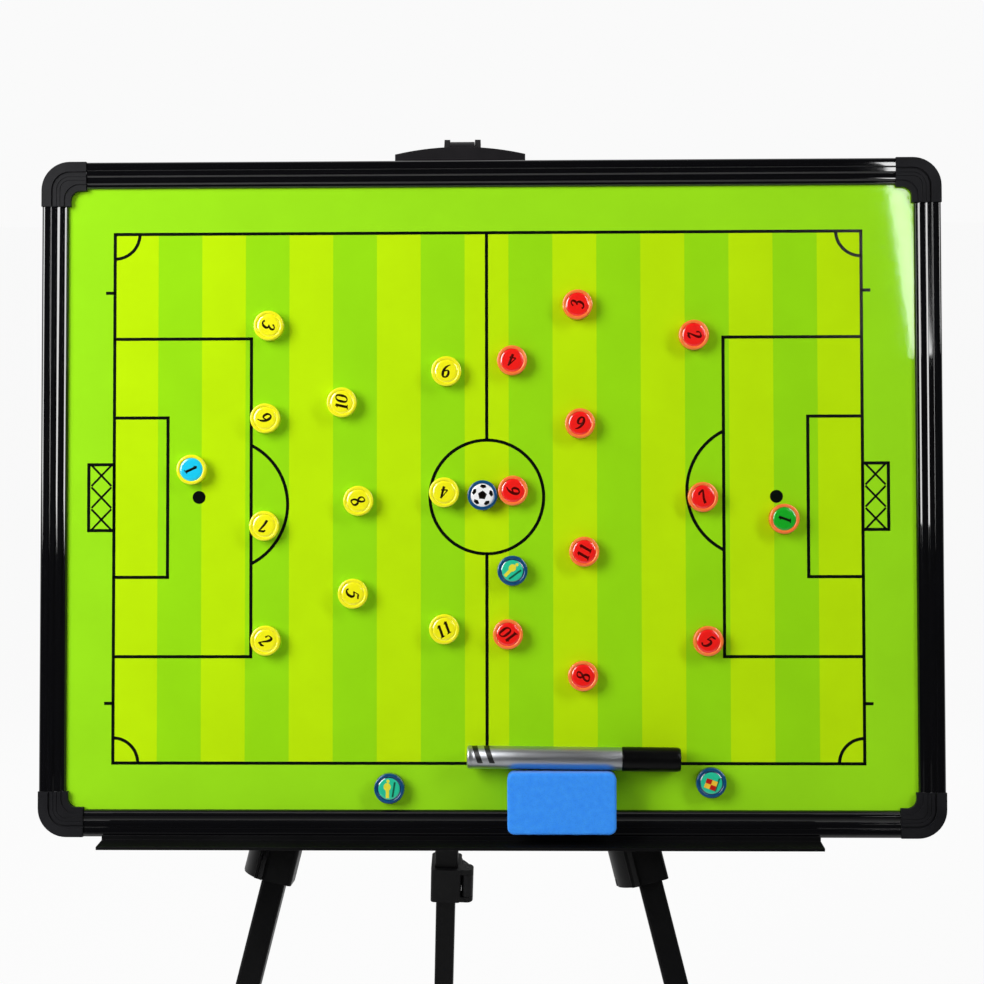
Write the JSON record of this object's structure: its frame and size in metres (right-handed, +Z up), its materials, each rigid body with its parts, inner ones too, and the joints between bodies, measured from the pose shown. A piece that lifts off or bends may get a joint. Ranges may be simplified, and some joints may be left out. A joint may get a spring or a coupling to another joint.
{
  "type": "tactics board",
  "caption": "Framed magnetic football tactics board with numbered magnets, marker and foam eraser, on a folding tripod easel with telescopic legs.",
  "frame": {"origin": "on the floor, under the middle of the whole object's box", "axes": "+Z up, -Y the way the board faces, +X to the right of someone who looks at the board"},
  "size_m": [0.6, 0.4206, 0.8859],
  "materials": {
    "printed_face": "glossy green printed steel sheet",
    "board_core": "pressed fibre core",
    "back_sheet": "mill finish sheet",
    "black_rail": "black anodised extrusion",
    "cap_plastic": "satin black moulding",
    "yellow_magnet": "glossy moulded cup with a clear dome",
    "red_magnet": "glossy moulded cup with a clear dome",
    "blue_magnet": "glossy moulded cup with a clear dome",
    "blue_foam": "fine closed-cell foam",
    "grey_felt": "pressed felt",
    "silver_barrel": "satin drawn tube",
    "pen_felt": "inked felt nib",
    "pen_plastic": "black moulded cap",
    "head_plastic": "satin black moulding",
    "steel_pin": "plain rivet",
    "collar_plastic": "satin black moulding",
    "lever_plastic": "satin black moulding",
    "black_tube": "black powder coat",
    "black_ledge": "black powder coat",
    "foot_rubber": "moulded rubber tip"
  },
  "bodies": {
    "head": {"easel_head": "head_plastic", "front_pivot_pins": "steel_pin", "rear_pivot_pin": "steel_pin"},
    "left_leg": {"left_leg_upper_tube": "black_tube", "left_leg_collar": "collar_plastic", "left_ledge_hanger": "collar_plastic"},
    "left_lever": {"left_leg_lever": "lever_plastic"},
    "left_lower_leg": {"left_leg_lower_tube": "black_tube", "left_leg_foot": "foot_rubber"},
    "right_leg": {"right_leg_upper_tube": "black_tube", "right_leg_collar": "collar_plastic", "right_ledge_hanger": "collar_plastic"},
    "right_lever": {"right_leg_lever": "lever_plastic"},
    "right_lower_leg": {"right_leg_lower_tube": "black_tube", "right_leg_foot": "foot_rubber"},
    "rear_leg": {"rear_leg_upper_tube": "black_tube", "rear_leg_collar": "collar_plastic", "rear_leg_hinge": "head_plastic"},
    "rear_lever": {"rear_leg_lever": "lever_plastic"},
    "rear_lower_leg": {"rear_leg_lower_tube": "black_tube", "rear_leg_foot": "foot_rubber"},
    "ledge": {"ledge_bar": "black_ledge"},
    "board": {"face_sheet": "printed_face", "core_panel": "board_core", "back_sheet": "back_sheet", "long_rails": "black_rail", "short_rails": "black_rail", "corner_caps": "cap_plastic"},
    "magnet_yellow_2": {"magnet_yellow_2": "yellow_magnet"},
    "magnet_yellow_3": {"magnet_yellow_3": "yellow_magnet"},
    "magnet_yellow_4": {"magnet_yellow_4": "yellow_magnet"},
    "magnet_yellow_5": {"magnet_yellow_5": "yellow_magnet"},
    "magnet_yellow_6": {"magnet_yellow_6": "yellow_magnet"},
    "magnet_yellow_7": {"magnet_yellow_7": "yellow_magnet"},
    "magnet_yellow_8": {"magnet_yellow_8": "yellow_magnet"},
    "magnet_yellow_9": {"magnet_yellow_9": "yellow_magnet"},
    "magnet_yellow_10": {"magnet_yellow_10": "yellow_magnet"},
    "magnet_yellow_11": {"magnet_yellow_11": "yellow_magnet"},
    "magnet_yellow_keeper": {"magnet_yellow_keeper": "yellow_magnet"},
    "magnet_red_2": {"magnet_red_2": "red_magnet"},
    "magnet_red_3": {"magnet_red_3": "red_magnet"},
    "magnet_red_4": {"magnet_red_4": "red_magnet"},
    "magnet_red_5": {"magnet_red_5": "red_magnet"},
    "magnet_red_6": {"magnet_red_6": "red_magnet"},
    "magnet_red_7": {"magnet_red_7": "red_magnet"},
    "magnet_red_8": {"magnet_red_8": "red_magnet"},
    "magnet_red_9": {"magnet_red_9": "red_magnet"},
    "magnet_red_10": {"magnet_red_10": "red_magnet"},
    "magnet_red_11": {"magnet_red_11": "red_magnet"},
    "magnet_red_keeper": {"magnet_red_keeper": "red_magnet"},
    "magnet_ball": {"magnet_ball": "blue_magnet"},
    "magnet_referee": {"magnet_referee": "blue_magnet"},
    "magnet_assistant": {"magnet_assistant": "blue_magnet"},
    "magnet_flag": {"magnet_flag": "blue_magnet"},
    "eraser": {"eraser_foam": "blue_foam", "eraser_felt": "grey_felt"},
    "pen_cap": {"pen_cap": "pen_plastic"},
    "pen": {"pen_barrel": "silver_barrel", "pen_nib": "pen_felt"}
  },
  "joints": [
    {"name": "left_leg_fold", "type": "hinge", "parent": "head", "child": "left_leg", "pos_m": [-0.034, -0.02222, 0.83195], "axis": [0, -0.9781, 0.2079], "range_deg": [0, 12.1]},
    {"name": "left_leg_extend", "type": "slide", "parent": "left_leg", "child": "left_lower_leg", "axis": [-0.2436, -0.2016, -0.9487], "range_m": [-0.38, 0]},
    {"name": "left_lever_flip", "type": "hinge", "parent": "left_leg", "child": "left_lever", "pos_m": [-0.16453, -0.10823, 0.39364], "axis": [-0.2436, -0.2016, -0.9487], "range_deg": [0, 100]},
    {"name": "right_leg_fold", "type": "hinge", "parent": "head", "child": "right_leg", "pos_m": [-0.006, -0.02222, 0.83195], "axis": [0, 0.9781, -0.2079], "range_deg": [0, 12.1]},
    {"name": "right_leg_extend", "type": "slide", "parent": "right_leg", "child": "right_lower_leg", "axis": [0.2436, -0.2016, -0.9487], "range_m": [-0.38, 0]},
    {"name": "right_lever_flip", "type": "hinge", "parent": "right_leg", "child": "right_lever", "pos_m": [0.09001, -0.11003, 0.38516], "axis": [0.2436, -0.2016, -0.9487], "range_deg": [0, 100]},
    {"name": "rear_leg_fold", "type": "hinge", "parent": "head", "child": "rear_leg", "pos_m": [-0.02, 0.01303, 0.87516], "axis": [-1, 0, 0], "range_deg": [0, 22]},
    {"name": "rear_leg_extend", "type": "slide", "parent": "rear_leg", "child": "rear_lower_leg", "axis": [-0.0384, 0.2078, -0.9774], "range_m": [-0.2434, 0.136]},
    {"name": "rear_lever_flip", "type": "hinge", "parent": "rear_leg", "child": "rear_lever", "pos_m": [-0.02601, 0.13514, 0.26703], "axis": [-0.0384, 0.2078, -0.9774], "range_deg": [0, 100]},
    {"name": "ledge_lift", "type": "slide", "parent": "head", "child": "ledge", "axis": [0, 0.2079, 0.9781], "range_m": [0, 0.03]},
    {"name": "board_lift", "type": "slide", "parent": "ledge", "child": "board", "axis": [0, 0.2079, 0.9781], "range_m": [0, 0.12]},
    {"name": "eraser_pull", "type": "slide", "parent": "board", "child": "eraser", "axis": [0, -0.9781, 0.2079], "range_m": [0, 0.04]},
    {"name": "pen_pull", "type": "slide", "parent": "board", "child": "pen_cap", "axis": [0, -0.9781, 0.2079], "range_m": [0, 0.04]},
    {"name": "pen_uncap", "type": "slide", "parent": "pen_cap", "child": "pen", "axis": [-0.9999, 0.0025, 0.012], "range_m": [0, 0.036]},
    {"name": "magnet_yellow_2_pull", "type": "slide", "parent": "board", "child": "magnet_yellow_2", "axis": [0, -0.9781, 0.2079], "range_m": [0, 0.03]},
    {"name": "magnet_yellow_3_pull", "type": "slide", "parent": "board", "child": "magnet_yellow_3", "axis": [0, -0.9781, 0.2079], "range_m": [0, 0.03]},
    {"name": "magnet_yellow_4_pull", "type": "slide", "parent": "board", "child": "magnet_yellow_4", "axis": [0, -0.9781, 0.2079], "range_m": [0, 0.03]},
    {"name": "magnet_yellow_5_pull", "type": "slide", "parent": "board", "child": "magnet_yellow_5", "axis": [0, -0.9781, 0.2079], "range_m": [0, 0.03]},
    {"name": "magnet_yellow_6_pull", "type": "slide", "parent": "board", "child": "magnet_yellow_6", "axis": [0, -0.9781, 0.2079], "range_m": [0, 0.03]},
    {"name": "magnet_yellow_7_pull", "type": "slide", "parent": "board", "child": "magnet_yellow_7", "axis": [0, -0.9781, 0.2079], "range_m": [0, 0.03]},
    {"name": "magnet_yellow_8_pull", "type": "slide", "parent": "board", "child": "magnet_yellow_8", "axis": [0, -0.9781, 0.2079], "range_m": [0, 0.03]},
    {"name": "magnet_yellow_9_pull", "type": "slide", "parent": "board", "child": "magnet_yellow_9", "axis": [0, -0.9781, 0.2079], "range_m": [0, 0.03]},
    {"name": "magnet_yellow_10_pull", "type": "slide", "parent": "board", "child": "magnet_yellow_10", "axis": [0, -0.9781, 0.2079], "range_m": [0, 0.03]},
    {"name": "magnet_yellow_11_pull", "type": "slide", "parent": "board", "child": "magnet_yellow_11", "axis": [0, -0.9781, 0.2079], "range_m": [0, 0.03]},
    {"name": "magnet_yellow_keeper_pull", "type": "slide", "parent": "board", "child": "magnet_yellow_keeper", "axis": [0, -0.9781, 0.2079], "range_m": [0, 0.03]},
    {"name": "magnet_red_2_pull", "type": "slide", "parent": "board", "child": "magnet_red_2", "axis": [0, -0.9781, 0.2079], "range_m": [0, 0.03]},
    {"name": "magnet_red_3_pull", "type": "slide", "parent": "board", "child": "magnet_red_3", "axis": [0, -0.9781, 0.2079], "range_m": [0, 0.03]},
    {"name": "magnet_red_4_pull", "type": "slide", "parent": "board", "child": "magnet_red_4", "axis": [0, -0.9781, 0.2079], "range_m": [0, 0.03]},
    {"name": "magnet_red_5_pull", "type": "slide", "parent": "board", "child": "magnet_red_5", "axis": [0, -0.9781, 0.2079], "range_m": [0, 0.03]},
    {"name": "magnet_red_6_pull", "type": "slide", "parent": "board", "child": "magnet_red_6", "axis": [0, -0.9781, 0.2079], "range_m": [0, 0.03]},
    {"name": "magnet_red_7_pull", "type": "slide", "parent": "board", "child": "magnet_red_7", "axis": [0, -0.9781, 0.2079], "range_m": [0, 0.03]},
    {"name": "magnet_red_8_pull", "type": "slide", "parent": "board", "child": "magnet_red_8", "axis": [0, -0.9781, 0.2079], "range_m": [0, 0.03]},
    {"name": "magnet_red_9_pull", "type": "slide", "parent": "board", "child": "magnet_red_9", "axis": [0, -0.9781, 0.2079], "range_m": [0, 0.03]},
    {"name": "magnet_red_10_pull", "type": "slide", "parent": "board", "child": "magnet_red_10", "axis": [0, -0.9781, 0.2079], "range_m": [0, 0.03]},
    {"name": "magnet_red_11_pull", "type": "slide", "parent": "board", "child": "magnet_red_11", "axis": [0, -0.9781, 0.2079], "range_m": [0, 0.03]},
    {"name": "magnet_red_keeper_pull", "type": "slide", "parent": "board", "child": "magnet_red_keeper", "axis": [0, -0.9781, 0.2079], "range_m": [0, 0.03]},
    {"name": "magnet_ball_pull", "type": "slide", "parent": "board", "child": "magnet_ball", "axis": [0, -0.9781, 0.2079], "range_m": [0, 0.03]},
    {"name": "magnet_referee_pull", "type": "slide", "parent": "board", "child": "magnet_referee", "axis": [0, -0.9781, 0.2079], "range_m": [0, 0.03]},
    {"name": "magnet_assistant_pull", "type": "slide", "parent": "board", "child": "magnet_assistant", "axis": [0, -0.9781, 0.2079], "range_m": [0, 0.03]},
    {"name": "magnet_flag_pull", "type": "slide", "parent": "board", "child": "magnet_flag", "axis": [0, -0.9781, 0.2079], "range_m": [0, 0.03]}
  ]
}
